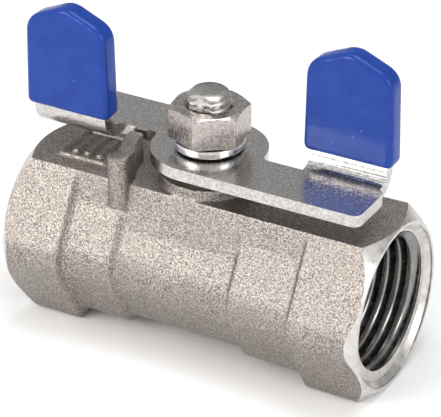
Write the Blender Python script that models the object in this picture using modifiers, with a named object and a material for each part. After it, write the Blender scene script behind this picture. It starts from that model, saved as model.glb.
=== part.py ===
"""Half-inch one-piece ball valve with a wing handle, modelled as separate pieces.

World frame: X runs along the pipe towards the outlet, Y points to the back, Z is up.
The origin is below the middle of the body, on the plane that its lower flat rests on.
The pieces are drawn round the stem's axis and the pipe's axis, and then moved to that frame.
Sizes are in metres. The valve is modelled open, with its wings in line with the pipe.
"""
import math

import bmesh
import bpy
from mathutils import Matrix, Vector

MM = 0.001

# ---- driving dimensions ---------------------------------------------------------------
ACROSS_FLATS = 24.5 * MM
OUTLET_FACE = 29.1 * MM                 # stem axis to the outlet's end face
INLET_FACE = 26.9 * MM                  # stem axis to the inlet's end face
THREAD_MAJOR_RADIUS = 10.478 * MM       # G 1/2: 20.955 mm major diameter
THREAD_MINOR_RADIUS = 9.316 * MM        # G 1/2: 18.631 mm minor diameter
BALL_RADIUS = 7.95 * MM
PORT_RADIUS = 4.6 * MM                  # reduced bore of 9.2 mm
STEM_RADIUS = 3.0 * MM                  # M6 stem
HANDLE_HUB_RADIUS = 8.2 * MM
HANDLE_REACH = 26.9 * MM                # stem axis to the end of an arm
PLATE_THICKNESS = 1.7 * MM
GAP = 0.3 * MM                          # clearance between neighbouring pieces
STACK_GAP = 0.2 * MM                    # clearance between clamped faces
OVERCUT = 1.0 * MM                      # how far a cutter runs past the surface that it cuts
WIDE = 6.0 * MM                         # half width of a cutter wider than the stem

# ---- heights above the pipe axis, and the axis above the ground -------------------------
AXIS_HEIGHT = ACROSS_FLATS / 2
PAD_TOP = ACROSS_FLATS / 2
BOSS_TOP = PAD_TOP + 1.65 * MM
PLATE_BOTTOM = BOSS_TOP + 1.7 * MM
PLATE_TOP = PLATE_BOTTOM + PLATE_THICKNESS
STEM_TOP = PLATE_TOP + 8.6 * MM

# ---- body -------------------------------------------------------------------------------
PAD_HALF_WIDTH = PAD_TOP * math.tan(math.radians(30))
PAD_WALL_DRAFT = 0.28                   # how far the pad's side wall leans out per unit of drop
# Each section: axis to the middle of a flat, then the round of its bottom and of its side corners.
HEXAGON = (ACROSS_FLATS / 2, 1.6 * MM, 5.0 * MM)
NECK = (11.5 * MM, 5.0 * MM, 6.0 * MM)
WAIST = (10.95 * MM, 7.0 * MM, 7.0 * MM)
OUTLET_HEX_START = 18.9 * MM            # stem axis to the step from neck to hexagon
INLET_HEX_START = 17.1 * MM
WAIST_HALF = 9.2 * MM                   # stem axis to the step from waist to neck
STEP_LENGTH = 1.3 * MM                 # length over which one section eases into the next
STEP_RINGS = 5
END_FACE_RADIUS = 12.05 * MM
MOUTH_RADIUS = 11.6 * MM               # outer edge of the countersink
CHAMFER_SLOPE = 1.0                     # radial drop per unit of length
BOSS_RADIUS = 6.95 * MM
OUTLET_SOCKET_DEPTH = 14.5 * MM
INLET_SOCKET_DEPTH = 13.5 * MM

# ---- ball chamber -----------------------------------------------------------------------
CHAMBER_RADIUS = BALL_RADIUS + 0.4 * MM
CHAMBER_END = 9.0 * MM
RETAINER_LEDGE = CHAMBER_END + 0.2 * MM # where the chamber widens to the retainer's thread
RETAINER_THREAD_RADIUS = 9.1 * MM
SEAT_BACK = CHAMBER_END - GAP
SEAT_OUTER_RADIUS = CHAMBER_RADIUS - GAP
SEAT_BORE_RADIUS = PORT_RADIUS + 0.1 * MM
GASKET_THICKNESS = 0.6 * MM
RETAINER_OUTER_RADIUS = RETAINER_THREAD_RADIUS - GAP
RETAINER_SPIGOT_RADIUS = CHAMBER_RADIUS - GAP
RETAINER_OUTER_END = 14.3 * MM
RETAINER_KEY_FLATS = 10.0 * MM          # hexagon key that screws the retainer in
RETAINER_KEY_DEPTH = 2.6 * MM

# ---- stem and its seals -------------------------------------------------------------------
SLOT_FLOOR = 5.6 * MM
SLOT_HALF_WIDTH = 1.8 * MM
TANG_HALF_LENGTH = 3.3 * MM
COLLAR_RADIUS = 4.4 * MM
COLLAR_BOTTOM = BALL_RADIUS + GAP
COLLAR_TOP = COLLAR_BOTTOM + 0.65 * MM
THRUST_WASHER_THICKNESS = 0.4 * MM
LEDGE_BOTTOM = COLLAR_TOP + THRUST_WASHER_THICKNESS + 2 * STACK_GAP
LEDGE_TOP = LEDGE_BOTTOM + 0.7 * MM
PACKING_BORE_RADIUS = 4.9 * MM
PACKING_RADIUS = PACKING_BORE_RADIUS - GAP
PACKING_THICKNESS = 0.5 * MM
PACKING_CHEVRON = 0.15 * MM             # how far the middle of a packing ring rises
GLAND_TOP = PLATE_BOTTOM - GAP
STEM_BORE_RADIUS = STEM_RADIUS + GAP
STEM_THREAD_RADIUS = STEM_RADIUS - 0.15 * MM
STEM_FLAT_HALF = 2.35 * MM              # axis to each of the two flats

# ---- handle, washer and nut -----------------------------------------------------------------
ARM_CORNER_ROUND = 1.2 * MM
NOTCH_ROUND = 1.0 * MM                  # where an arm's cut-back edge meets the hub
TAB_INNER_X = 14.35 * MM
TAB_OUTER_X = 26.0 * MM
BEND_START = 0.3 * MM                   # where the plate starts to turn up
BEND_INNER_RADIUS = 2.0 * MM
TAB_TOP = PLATE_TOP + 15.8 * MM
TAB_SHOULDER_DROP = 2.0 * MM
GRIP_THICKNESS = 3.4 * MM
GRIP_SIDE = 0.85 * MM                    # how far the sleeve stands out past the tab's edges
SIDE_LEAN = 0.3 * MM                    # how far each side of a wing leans in towards the top
GRIP_BOTTOM = PLATE_TOP + 2.1 * MM
GRIP_SHOULDER = PLATE_TOP + 15.4 * MM
GRIP_TOP = PLATE_TOP + 17.9 * MM
GRIP_EDGE_ROUND = 0.9 * MM
GABLE_CROWN_HALF = 1.6 * MM             # half width of the soft crown in the middle of a gable
GABLE_CROWN_DROP = 0.25 * MM
WASHER_RADIUS = 5.05 * MM
WASHER_THICKNESS = 1.4 * MM
WASHER_SPLIT = 0.8 * MM
NUT_FLATS = 10.1 * MM
NUT_HEIGHT = 4.7 * MM
NUT_BORE_RADIUS = STEM_RADIUS + 0.1 * MM
NUT_ANGLE = math.radians(6.7)

# ---- stop post ------------------------------------------------------------------------------
POST_INNER_RADIUS = 10.3 * MM
POST_OUTER_RADIUS = 12.5 * MM
POST_START = math.radians(182.0)        # rear end, which the open handle's left arm meets
POST_END = math.radians(212.0)
POST_NOSE_RADIUS = 1.55 * MM
POST_NOSE = Vector((-10.0 * MM, -7.7 * MM))
POST_TOP = PLATE_TOP - 0.5 * MM
POST_BOTTOM = 9.0 * MM

ROUND = 48                              # sides of the larger turned shapes
SMALL_ROUND = 32


# ---- scene and material helpers ----------------------------------------------------------------
def clear_scene():
    for obj in list(bpy.data.objects):
        bpy.data.objects.remove(obj, do_unlink=True)


def new_collection(name):
    collection = bpy.data.collections.new(name)
    bpy.context.scene.collection.children.link(collection)
    return collection


def principled(name, colour, metallic, roughness):
    material = bpy.data.materials.new(name)
    material.use_nodes = True
    shader = material.node_tree.nodes["Principled BSDF"]
    shader.inputs["Base Color"].default_value = (*colour, 1.0)
    shader.inputs["Metallic"].default_value = metallic
    shader.inputs["Roughness"].default_value = roughness
    return material


def add_object(name, mesh, collection, material=None):
    obj = bpy.data.objects.new(name, mesh)
    collection.objects.link(obj)
    if material:
        mesh.materials.append(material)
    return obj


def as_cutter(obj):
    obj.hide_render = True
    obj.display_type = 'WIRE'
    return obj


def boolean(target, tool, operation):
    modifier = target.modifiers.new(f"{operation.lower()} {tool.name}", 'BOOLEAN')
    modifier.operation = operation
    modifier.solver = 'EXACT'
    modifier.object = tool


def smooth(obj, degrees=35):
    obj.data.shade_smooth()
    obj.data.set_sharp_from_angle(angle=math.radians(degrees))


# ---- shape helpers --------------------------------------------------------------------------------
def profile_mesh(name, points, closed):
    """A wire of (radius, height) points in the XZ plane."""
    mesh = bpy.data.meshes.new(name)
    vertices = [(radius, 0.0, height) for radius, height in points]
    edges = [(i, i + 1) for i in range(len(points) - 1)]
    if closed:
        edges.append((len(points) - 1, 0))
    mesh.from_pydata(vertices, edges, [])
    return mesh


def turned(name, points, collection, material=None, closed=True, sides=ROUND):
    """A profile turned about Z. A ring's profile is closed; a solid's starts and ends on the axis."""
    obj = add_object(name, profile_mesh(name, points, closed), collection, material)
    screw = obj.modifiers.new("turn", 'SCREW')
    screw.steps = sides
    screw.render_steps = sides
    screw.use_merge_vertices = True
    screw.merge_threshold = 0.00001
    screw.use_smooth_shade = True
    return obj


def along_pipe(obj):
    """Lays a shape turned about Z along X, its top towards the outlet."""
    obj.rotation_euler = (0.0, math.radians(90), 0.0)
    return obj


def box(name, low, high, collection):
    mesh = bpy.data.meshes.new(name)
    bm = bmesh.new()
    bmesh.ops.create_cube(bm, size=1.0)
    size = Vector(high) - Vector(low)
    middle = (Vector(high) + Vector(low)) / 2
    bmesh.ops.transform(bm, matrix=Matrix.LocRotScale(middle, None, size), verts=bm.verts)
    bm.to_mesh(mesh)
    bm.free()
    return as_cutter(add_object(name, mesh, collection))


def prism(name, flats, bottom, top, collection, material=None, angle=0.0):
    """A hexagonal prism about Z, flats apart by the given size."""
    mesh = bpy.data.meshes.new(name)
    bm = bmesh.new()
    radius = flats / 2 / math.cos(math.radians(30))
    bmesh.ops.create_cone(bm, cap_ends=True, segments=6, radius1=radius, radius2=radius, depth=top - bottom)
    turn = Matrix.Rotation(angle, 4, 'Z')
    bmesh.ops.transform(bm, matrix=Matrix.Translation((0, 0, (top + bottom) / 2)) @ turn, verts=bm.verts)
    bm.to_mesh(mesh)
    bm.free()
    return add_object(name, mesh, collection, material)


def arc(centre, radius, start, end, steps):
    """Points on an arc, both ends included."""
    angles = [start + (end - start) * i / steps for i in range(steps + 1)]
    return [Vector((centre[0] + radius * math.cos(a), centre[1] + radius * math.sin(a))) for a in angles]


def flat_outline(name, outline, holes, thickness, collection, material=None):
    """A flat outline, thickened evenly about z = 0, as a mesh object."""
    curve = bpy.data.curves.new(name, 'CURVE')
    curve.dimensions = '2D'
    curve.fill_mode = 'BOTH'
    curve.extrude = thickness / 2
    for loop in [outline, *holes]:
        spline = curve.splines.new('POLY')
        spline.points.add(len(loop) - 1)
        for point, place in zip(spline.points, loop):
            point.co = (place[0], place[1], 0.0, 1.0)
        spline.use_cyclic_u = True
    flat = bpy.data.objects.new(name + " outline", curve)
    collection.objects.link(flat)
    bpy.context.view_layer.update()
    evaluated = flat.evaluated_get(bpy.context.evaluated_depsgraph_get())
    mesh = bpy.data.meshes.new_from_object(evaluated)
    bpy.data.objects.remove(flat, do_unlink=True)
    bm = bmesh.new()
    bm.from_mesh(mesh)
    bmesh.ops.remove_doubles(bm, verts=bm.verts, dist=0.000005)
    bmesh.ops.dissolve_limit(bm, angle_limit=math.radians(1), verts=bm.verts, edges=bm.edges)
    bmesh.ops.recalc_face_normals(bm, faces=bm.faces)
    bm.to_mesh(mesh)
    bm.free()
    return add_object(name, mesh, collection, material)


# ---- body -------------------------------------------------------------------------------------------
def soft_hexagon_radius(angle, section):
    """Radius of a round-cornered hexagon. The angle is measured from straight up, a flat's middle."""
    flat, bottom_round, side_round = section
    at_side = abs(abs(math.sin(angle)) - 1) < 1 - math.sin(math.radians(60))
    corner_round = side_round if at_side else bottom_round
    from_flat = abs((angle + math.radians(30)) % math.radians(60) - math.radians(30))
    tangent = math.atan((flat - corner_round) * math.tan(math.radians(30)) / flat)
    if from_flat <= tangent:
        return flat / math.cos(from_flat)
    centre = (flat - corner_round) / math.cos(math.radians(30))
    off_corner = math.radians(30) - from_flat
    along = centre * math.cos(off_corner)
    return along + math.sqrt(corner_round ** 2 - (centre * math.sin(off_corner)) ** 2)


def wall_junction(section):
    """Angle from straight up at which the pad's leaning side wall meets the section below it."""
    low, high = math.radians(30), math.radians(80)
    for _ in range(40):
        middle = (low + high) / 2
        radius = soft_hexagon_radius(middle, section)
        side, height = radius * math.sin(middle), radius * math.cos(middle)
        wall = PAD_HALF_WIDTH + PAD_WALL_DRAFT * (PAD_TOP - height)
        low, high = (middle, high) if side < wall else (low, middle)
    return low


def body_ring(station, section, round_steps=54, wall_steps=2):
    """One section of the casting: flat pad on top, leaning side walls and a soft hexagon below."""
    junction = wall_junction(section)
    radius = soft_hexagon_radius(junction, section)
    foot = Vector((radius * math.sin(junction), radius * math.cos(junction)))
    corner = Vector((PAD_HALF_WIDTH, PAD_TOP))
    wall = [corner.lerp(foot, i / wall_steps) for i in range(wall_steps)]
    below = []
    for i in range(round_steps + 1):
        angle = junction + (math.tau - 2 * junction) * i / round_steps
        radius = soft_hexagon_radius(angle, section)
        below.append(Vector((radius * math.sin(angle), radius * math.cos(angle))))
    other_wall = [Vector((-p.x, p.y)) for p in reversed(wall)]
    return [(station, point.x, point.y) for point in wall + below + other_wall]


def side_stations(hex_start, face):
    """(station, section) from the waist to one end face, with eased steps between."""
    stations = []
    for place, before, after in ((WAIST_HALF, WAIST, NECK), (hex_start, NECK, HEXAGON)):
        for i in range(STEP_RINGS):
            t = i / (STEP_RINGS - 1)
            eased = t * t * (3 - 2 * t)
            section = tuple(a + (b - a) * eased for a, b in zip(before, after))
            stations.append((place + (t - 0.5) * STEP_LENGTH, section))
    stations.append((face, HEXAGON))
    return stations


def casting(collection, material):
    outlet_side = side_stations(OUTLET_HEX_START, OUTLET_FACE)
    inlet_side = [(-place, section) for place, section in side_stations(INLET_HEX_START, INLET_FACE)]
    bm = bmesh.new()
    rings = [[bm.verts.new(place) for place in body_ring(*station)]
             for station in inlet_side[::-1] + outlet_side]
    for ring, following in zip(rings, rings[1:]):
        for i in range(len(ring)):
            j = (i + 1) % len(ring)
            bm.faces.new((ring[i], ring[j], following[j], following[i]))
    bm.faces.new(rings[0])
    bm.faces.new(rings[-1])
    bmesh.ops.recalc_face_normals(bm, faces=bm.faces)
    mesh = bpy.data.meshes.new("body")
    bm.to_mesh(mesh)
    bm.free()
    return add_object("body", mesh, collection, material)


def post_outline():
    """A curved wall round the stem that ends in a round nose at the front."""
    inner = arc((0, 0), POST_INNER_RADIUS, POST_START, POST_END, 5)
    outer = arc((0, 0), POST_OUTER_RADIUS, POST_END, POST_START, 5)
    nose = arc(POST_NOSE, POST_NOSE_RADIUS, 0.0, -math.pi, 8)
    return inner + nose + outer


def socket_profile(face, depth):
    """A threaded socket's cutter, as (radius, station) points from outside the end face inwards."""
    mouth_depth = MOUTH_RADIUS - THREAD_MAJOR_RADIUS
    return [(MOUTH_RADIUS, face + OVERCUT), (MOUTH_RADIUS, face), (THREAD_MAJOR_RADIUS, face - mouth_depth),
            (THREAD_MINOR_RADIUS, face - 2 * mouth_depth), (THREAD_MINOR_RADIUS, face - depth)]


def chamfer_envelope():
    """Turned outline whose cones take the corners off both ends of the hexagon."""
    beyond = ACROSS_FLATS
    cone = (beyond - END_FACE_RADIUS) / CHAMFER_SLOPE
    return [(0, OUTLET_FACE), (END_FACE_RADIUS, OUTLET_FACE), (beyond, OUTLET_FACE - cone),
            (beyond, cone - INLET_FACE), (END_FACE_RADIUS, -INLET_FACE), (0, -INLET_FACE)]


def make_body(parts, cutters, material):
    body = casting(parts, material)
    envelope = turned("end chamfers", chamfer_envelope(), cutters, closed=False, sides=64)
    boolean(body, as_cutter(along_pipe(envelope)), 'INTERSECT')

    boss = as_cutter(turned("boss", [(0, BOSS_TOP), (BOSS_RADIUS - 0.4 * MM, BOSS_TOP),
                                     (BOSS_RADIUS, BOSS_TOP - 0.4 * MM), (BOSS_RADIUS, PAD_TOP - OVERCUT),
                                     (0, PAD_TOP - OVERCUT)], cutters, closed=False))
    post = as_cutter(flat_outline("stop post", post_outline(), [], POST_TOP - POST_BOTTOM, cutters))
    post.location.z = (POST_TOP + POST_BOTTOM) / 2
    boolean(body, boss, 'UNION')
    boolean(body, post, 'UNION')

    outlet = socket_profile(OUTLET_FACE, OUTLET_SOCKET_DEPTH)
    passage = [(RETAINER_THREAD_RADIUS, OUTLET_FACE - OUTLET_SOCKET_DEPTH),
               (RETAINER_THREAD_RADIUS, RETAINER_LEDGE), (CHAMBER_RADIUS, RETAINER_LEDGE),
               (CHAMBER_RADIUS, -CHAMBER_END), (PORT_RADIUS, -CHAMBER_END),
               (PORT_RADIUS, INLET_SOCKET_DEPTH - INLET_FACE)]
    inlet = [(radius, -station)
             for radius, station in reversed(socket_profile(INLET_FACE, INLET_SOCKET_DEPTH))]
    profile = [(0, outlet[0][1]), *outlet, *passage, *inlet, (0, inlet[-1][1])]
    waterway = as_cutter(along_pipe(turned("waterway", profile, cutters, closed=False)))
    boolean(body, waterway, 'DIFFERENCE')

    stem_bores = [(0, BOSS_TOP + OVERCUT), (PACKING_BORE_RADIUS, BOSS_TOP + OVERCUT),
                  (PACKING_BORE_RADIUS, LEDGE_TOP), (STEM_BORE_RADIUS, LEDGE_TOP),
                  (STEM_BORE_RADIUS, LEDGE_BOTTOM), (COLLAR_RADIUS + GAP, LEDGE_BOTTOM),
                  (COLLAR_RADIUS + GAP, PORT_RADIUS), (0, PORT_RADIUS)]
    stem_way = as_cutter(turned("stem way", stem_bores, cutters, closed=False, sides=SMALL_ROUND))
    boolean(body, stem_way, 'DIFFERENCE')
    return body


# ---- pieces inside the body -----------------------------------------------------------------------
def seat_profile():
    """A seat ring with a hollow face that follows the ball at one gap."""
    face_radius = BALL_RADIUS + GAP
    rim_radius = SEAT_OUTER_RADIUS - 0.9 * MM
    face = []
    for i in range(6):
        radius = rim_radius + (SEAT_BORE_RADIUS - rim_radius) * i / 5
        face.append((radius, math.sqrt(face_radius ** 2 - radius ** 2)))
    rim_station = face[0][1] + 0.5 * MM
    return [(SEAT_OUTER_RADIUS, SEAT_BACK), (SEAT_OUTER_RADIUS, rim_station), *face,
            (SEAT_BORE_RADIUS, SEAT_BACK)]


def make_seat(name, side, parts, material):
    seat = along_pipe(turned(name, seat_profile(), parts, material))
    if side < 0:
        seat.rotation_euler.y = math.radians(-90)
    return seat


def make_retainer(parts, cutters, material):
    """Threaded insert, turned with its outer face up, then laid along the pipe on the outlet side."""
    spigot_end = SEAT_BACK + GAP
    shoulder = RETAINER_LEDGE + 2 * GAP + GASKET_THICKNESS
    profile = [(RETAINER_OUTER_RADIUS - 0.5 * MM, RETAINER_OUTER_END),
               (RETAINER_OUTER_RADIUS, RETAINER_OUTER_END - 0.5 * MM), (RETAINER_OUTER_RADIUS, shoulder),
               (RETAINER_SPIGOT_RADIUS, shoulder), (RETAINER_SPIGOT_RADIUS, spigot_end),
               (SEAT_BORE_RADIUS, spigot_end), (SEAT_BORE_RADIUS, RETAINER_OUTER_END)]
    retainer = turned("seat_retainer", profile, parts, material)
    key = as_cutter(prism("retainer key", RETAINER_KEY_FLATS, RETAINER_OUTER_END - RETAINER_KEY_DEPTH,
                          RETAINER_OUTER_END + OVERCUT, cutters))
    boolean(retainer, key, 'DIFFERENCE')
    key.parent = retainer
    return along_pipe(retainer)


def make_gasket(parts, material):
    inner_end = RETAINER_LEDGE + GAP
    inner_radius = RETAINER_SPIGOT_RADIUS + GAP
    profile = [(RETAINER_OUTER_RADIUS, inner_end + GASKET_THICKNESS), (RETAINER_OUTER_RADIUS, inner_end),
               (inner_radius, inner_end), (inner_radius, inner_end + GASKET_THICKNESS)]
    return along_pipe(turned("retainer_gasket", profile, parts, material))


def make_ball(parts, cutters, material):
    mesh = bpy.data.meshes.new("ball")
    bm = bmesh.new()
    bmesh.ops.create_uvsphere(bm, u_segments=ROUND, v_segments=24, radius=BALL_RADIUS)
    bm.to_mesh(mesh)
    bm.free()
    ball = add_object("ball", mesh, parts, material)
    end = BALL_RADIUS + OVERCUT
    port_profile = [(0, end), (PORT_RADIUS, end), (PORT_RADIUS, -end), (0, -end)]
    port = turned("ball port", port_profile, cutters, closed=False, sides=SMALL_ROUND)
    as_cutter(along_pipe(port))
    slot = box("ball slot", (-SLOT_HALF_WIDTH, -end, SLOT_FLOOR), (SLOT_HALF_WIDTH, end, end), cutters)
    boolean(ball, port, 'DIFFERENCE')
    boolean(ball, slot, 'DIFFERENCE')
    smooth(ball)
    return ball


def make_stem(parts, cutters, material):
    """Turned stem: tang for the ball's slot, thrust collar, seal diameter, two flats and M6 thread."""
    tang_bottom = SLOT_FLOOR + GAP
    shoulder = PLATE_BOTTOM - GAP
    profile = [(0, STEM_TOP), (STEM_THREAD_RADIUS - 0.45 * MM, STEM_TOP),
               (STEM_THREAD_RADIUS, STEM_TOP - 0.45 * MM), (STEM_THREAD_RADIUS, shoulder + 0.15 * MM),
               (STEM_RADIUS, shoulder), (STEM_RADIUS, COLLAR_TOP), (COLLAR_RADIUS, COLLAR_TOP),
               (COLLAR_RADIUS, COLLAR_BOTTOM), (TANG_HALF_LENGTH, COLLAR_BOTTOM),
               (TANG_HALF_LENGTH, tang_bottom), (0, tang_bottom)]
    stem = turned("stem", profile, parts, material, closed=False, sides=SMALL_ROUND)
    tang_side = SLOT_HALF_WIDTH - GAP
    for side in (-1, 1):
        near, far = sorted((side * tang_side, side * WIDE))
        flank = box(f"tang side {side}", (near, -WIDE, tang_bottom - OVERCUT),
                    (far, WIDE, COLLAR_BOTTOM), cutters)
        boolean(stem, flank, 'DIFFERENCE')
        near, far = sorted((side * STEM_FLAT_HALF, side * WIDE))
        flat = box(f"stem flat {side}", (-WIDE, near, shoulder - GAP),
                   (WIDE, far, STEM_TOP + OVERCUT), cutters)
        boolean(stem, flat, 'DIFFERENCE')
    return stem


def make_thrust_washer(parts, material):
    bottom = COLLAR_TOP + STACK_GAP
    top = bottom + THRUST_WASHER_THICKNESS
    profile = [(COLLAR_RADIUS, top), (COLLAR_RADIUS, bottom),
               (STEM_BORE_RADIUS, bottom), (STEM_BORE_RADIUS, top)]
    return turned("stem_thrust_washer", profile, parts, material, sides=SMALL_ROUND)


def make_packing(parts, material):
    """Three chevron rings round the stem, one above the other."""
    middle = (PACKING_RADIUS + STEM_BORE_RADIUS) / 2
    rings = []
    for level, name in enumerate(("packing_lower", "packing_middle", "packing_upper")):
        bottom = LEDGE_TOP + STACK_GAP + level * (PACKING_THICKNESS + STACK_GAP)
        top = bottom + PACKING_THICKNESS
        profile = [(middle, top + PACKING_CHEVRON), (PACKING_RADIUS, top), (PACKING_RADIUS, bottom),
                   (middle, bottom + PACKING_CHEVRON), (STEM_BORE_RADIUS, bottom), (STEM_BORE_RADIUS, top)]
        rings.append(turned(name, profile, parts, material, sides=SMALL_ROUND))
    return rings


def make_gland(parts, material):
    """Gland ring that is screwed into the boss and stands proud of it, below the handle."""
    bottom = LEDGE_TOP + 3 * (PACKING_THICKNESS + STACK_GAP) + STACK_GAP + PACKING_CHEVRON
    profile = [(PACKING_RADIUS - 0.3 * MM, GLAND_TOP), (PACKING_RADIUS, GLAND_TOP - 0.3 * MM),
               (PACKING_RADIUS, bottom), (STEM_BORE_RADIUS, bottom), (STEM_BORE_RADIUS, GLAND_TOP)]
    return turned("packing_gland", profile, parts, material, sides=SMALL_ROUND)


# ---- handle, grips, washer and nut ------------------------------------------------------------------
def arm_outline():
    """Half of the plate's outline: the right arm's front edge, its end, its cut-back edge and the hub."""
    hub = HANDLE_HUB_RADIUS
    corner = ARM_CORNER_ROUND
    notch_x = math.sqrt((hub + NOTCH_ROUND) ** 2 - NOTCH_ROUND ** 2)
    notch = Vector((notch_x, NOTCH_ROUND))
    hub_angle = math.atan2(notch.y, notch.x)
    outline = [Vector((0.0, -hub))]
    outline += arc((HANDLE_REACH - corner, corner - hub), corner, -math.pi / 2, 0.0, 4)
    outline += arc((HANDLE_REACH - corner, -corner), corner, 0.0, math.pi / 2, 4)
    outline += arc(notch, NOTCH_ROUND, -math.pi / 2, -math.pi + hub_angle, 4)
    outline += arc((0, 0), hub, hub_angle, math.pi / 2, 12)[1:-1]
    return outline


def stem_hole_outline():
    """Double-D hole that fits over the stem's flats."""
    radius = STEM_RADIUS + GAP
    flat = STEM_FLAT_HALF + GAP
    half_angle = math.asin(flat / radius)
    return (arc((0, 0), radius, -half_angle, half_angle, 6)
            + arc((0, 0), radius, math.pi - half_angle, math.pi + half_angle, 6))


def tab_section():
    """The bend and the upright of a wing, as (y, z) points with z above the plate's underside."""
    inner, outer = BEND_INNER_RADIUS, BEND_INNER_RADIUS + PLATE_THICKNESS
    centre = (BEND_START, outer)
    top = TAB_TOP - PLATE_BOTTOM
    root = -2 * MM
    under = arc(centre, outer, -math.pi / 2, 0.0, 8)
    over = arc(centre, inner, 0.0, -math.pi / 2, 8)
    ends = [Vector((BEND_START + outer, top)), Vector((BEND_START + inner, top))]
    return [Vector((root, 0.0))] + under + ends + over + [Vector((root, PLATE_THICKNESS))]


def wing_middle_y():
    return BEND_START + BEND_INNER_RADIUS + PLATE_THICKNESS / 2


def gable_outline(inner_x, outer_x, bottom, shoulder, top, lean):
    """Upright outline with leaning sides and a low gable, as (x, z) points."""
    middle = (inner_x + outer_x) / 2
    return [Vector((inner_x, bottom)), Vector((outer_x, bottom)), Vector((outer_x - lean, shoulder)),
            Vector((middle + GABLE_CROWN_HALF, top - GABLE_CROWN_DROP)), Vector((middle, top)),
            Vector((middle - GABLE_CROWN_HALF, top - GABLE_CROWN_DROP)), Vector((inner_x + lean, shoulder))]


def make_handle(parts, cutters, material):
    half = arm_outline()
    outline = half + [-p for p in half]
    handle = flat_outline("handle", outline, [stem_hole_outline()], PLATE_THICKNESS, parts, material)
    for vertex in handle.data.vertices:
        vertex.co.z += PLATE_BOTTOM + PLATE_THICKNESS / 2

    width = TAB_OUTER_X - TAB_INNER_X
    limit = gable_outline(TAB_INNER_X, TAB_OUTER_X, PLATE_BOTTOM - OVERCUT, TAB_TOP - TAB_SHOULDER_DROP,
                          TAB_TOP, SIDE_LEAN)
    for side in (1, -1):
        tab = as_cutter(flat_outline(f"tab {side}", tab_section(), [], width, cutters))
        tab.matrix_world = (Matrix.Rotation(0.0 if side > 0 else math.pi, 4, 'Z')
                            @ Matrix.Translation(((TAB_INNER_X + TAB_OUTER_X) / 2, 0, PLATE_BOTTOM))
                            @ Matrix(((0, 0, 1, 0), (1, 0, 0, 0), (0, 1, 0, 0), (0, 0, 0, 1))))
        trim = as_cutter(flat_outline(f"tab trim {side}", limit, [], 16 * MM, cutters))
        trim.matrix_world = (Matrix.Rotation(0.0 if side > 0 else math.pi, 4, 'Z')
                             @ Matrix.Rotation(math.radians(90), 4, 'X'))
        boolean(tab, trim, 'INTERSECT')
        boolean(handle, tab, 'UNION')
    return handle


def make_grip(name, side, parts, cutters, material):
    """Vinyl sleeve: a rounded gabled slab with a pocket, open below, that the wing fits."""
    inner_x, outer_x = TAB_INNER_X - GRIP_SIDE, TAB_OUTER_X + GRIP_SIDE
    outline = gable_outline(inner_x, outer_x, GRIP_BOTTOM, GRIP_SHOULDER, GRIP_TOP, SIDE_LEAN)
    grip = flat_outline(name, outline, [], GRIP_THICKNESS, parts, material)
    turn = Matrix.Rotation(0.0 if side > 0 else math.pi, 4, 'Z')
    stand = Matrix.Translation((0, wing_middle_y(), 0)) @ Matrix.Rotation(math.radians(90), 4, 'X')
    grip.data.transform(turn @ stand)
    bevel = grip.modifiers.new("soft edges", 'BEVEL')
    bevel.width = GRIP_EDGE_ROUND
    bevel.segments = 3
    bevel.limit_method = 'ANGLE'
    bevel.angle_limit = math.radians(40)
    pocket_outline = gable_outline(TAB_INNER_X - GAP, TAB_OUTER_X + GAP, GRIP_BOTTOM - OVERCUT,
                                   TAB_TOP - TAB_SHOULDER_DROP + GAP, TAB_TOP + GAP, SIDE_LEAN)
    pocket = flat_outline(name + " pocket", pocket_outline, [], PLATE_THICKNESS + 2 * GAP, cutters)
    pocket.data.transform(turn @ stand)
    boolean(grip, as_cutter(pocket), 'DIFFERENCE')
    return grip


def make_lock_washer(parts, cutters, material):
    """Split spring washer; its split faces the back."""
    bottom = PLATE_TOP + STACK_GAP
    top = bottom + WASHER_THICKNESS
    edge = 0.2 * MM
    profile = [(WASHER_RADIUS - edge, top), (WASHER_RADIUS, top - edge), (WASHER_RADIUS, bottom + edge),
               (WASHER_RADIUS - edge, bottom), (STEM_BORE_RADIUS, bottom), (STEM_BORE_RADIUS, top)]
    washer = turned("lock_washer", profile, parts, material)
    split = box("washer split", (-WASHER_SPLIT / 2, 0, bottom - OVERCUT),
                (WASHER_SPLIT / 2, WASHER_RADIUS + OVERCUT, top + OVERCUT), cutters)
    boolean(washer, split, 'DIFFERENCE')
    return washer


def make_nut(parts, cutters, material):
    bottom = PLATE_TOP + WASHER_THICKNESS + 2 * STACK_GAP
    top = bottom + NUT_HEIGHT
    nut = prism("stem_nut", NUT_FLATS, bottom, top, parts, material, NUT_ANGLE)
    corner = NUT_FLATS / 2 / math.cos(math.radians(30))
    crown = NUT_FLATS / 2 - 0.15 * MM
    crown_drop = (corner + OVERCUT - crown) * math.tan(math.radians(30))
    envelope = [(0, top), (crown, top), (corner + OVERCUT, top - crown_drop),
                (corner + OVERCUT, bottom + crown_drop / 2), (crown + 0.5 * MM, bottom), (0, bottom)]
    shape = as_cutter(turned("nut envelope", envelope, cutters, closed=False))
    countersink = NUT_BORE_RADIUS + 0.4 * MM
    bore = [(0, top + OVERCUT), (countersink, top + OVERCUT), (countersink, top),
            (NUT_BORE_RADIUS, top - 0.4 * MM), (NUT_BORE_RADIUS, bottom - OVERCUT), (0, bottom - OVERCUT)]
    hole = as_cutter(turned("nut bore", bore, cutters, closed=False, sides=SMALL_ROUND))
    boolean(nut, shape, 'INTERSECT')
    boolean(nut, hole, 'DIFFERENCE')
    return nut


# ---- assembly ---------------------------------------------------------------------------------------
def move_to_frame(objects):
    """Puts the middle of the body's length at x = 0 and its lower flat at z = 0."""
    for obj in objects:
        if obj.parent is None:
            obj.location.x -= (OUTLET_FACE - INLET_FACE) / 2
            obj.location.z += AXIS_HEIGHT


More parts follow.
